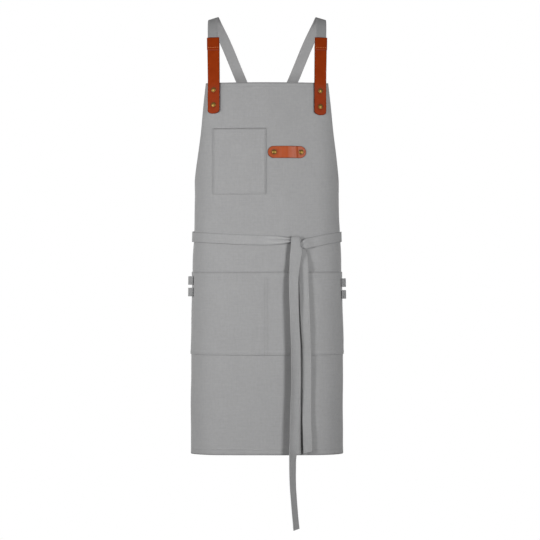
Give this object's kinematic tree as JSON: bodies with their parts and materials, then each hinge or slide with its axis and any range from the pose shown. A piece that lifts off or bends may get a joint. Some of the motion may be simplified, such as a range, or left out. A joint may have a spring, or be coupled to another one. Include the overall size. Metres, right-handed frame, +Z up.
{
  "type": "bib apron",
  "caption": "Cross-back bib apron in grey canvas with patch pockets, riveted leather strap ends and loop, and waist ties knotted at the front, in its worn form.",
  "frame": {"origin": "midway between the two shoulders, on the underside of the tops of the straps, where the apron hangs on its wearer", "axes": "+Z up along the apron, -Y towards the front of the bib, +X towards the side with the leather loop"},
  "size_m": [0.3705, 0.2471, 1.1887],
  "materials": {
    "cloth": "matte twill cotton canvas",
    "cloth_tape": "matte woven cotton tape",
    "leather": "smooth tan leather with a soft sheen",
    "rivet": "antique brass"
  },
  "bodies": {
    "root": {"apron_panel": "cloth", "bib_pocket": "cloth", "skirt_pocket": "cloth", "waist_tie_left": "cloth", "waist_tie_right": "cloth", "shoulder_strap_left": "cloth_tape", "shoulder_strap_right": "cloth_tape", "side_loop_left_upper": "cloth_tape", "side_loop_left_lower": "cloth_tape", "side_loop_right_upper": "cloth_tape", "side_loop_right_lower": "cloth_tape", "leather_end_left": "leather", "leather_end_right": "leather", "leather_loop": "leather", "strap_rivet_left_upper": "rivet", "strap_rivet_left_lower": "rivet", "strap_rivet_right_upper": "rivet", "strap_rivet_right_lower": "rivet", "loop_rivet_left": "rivet", "loop_rivet_right": "rivet"}
  },
  "joints": []
}
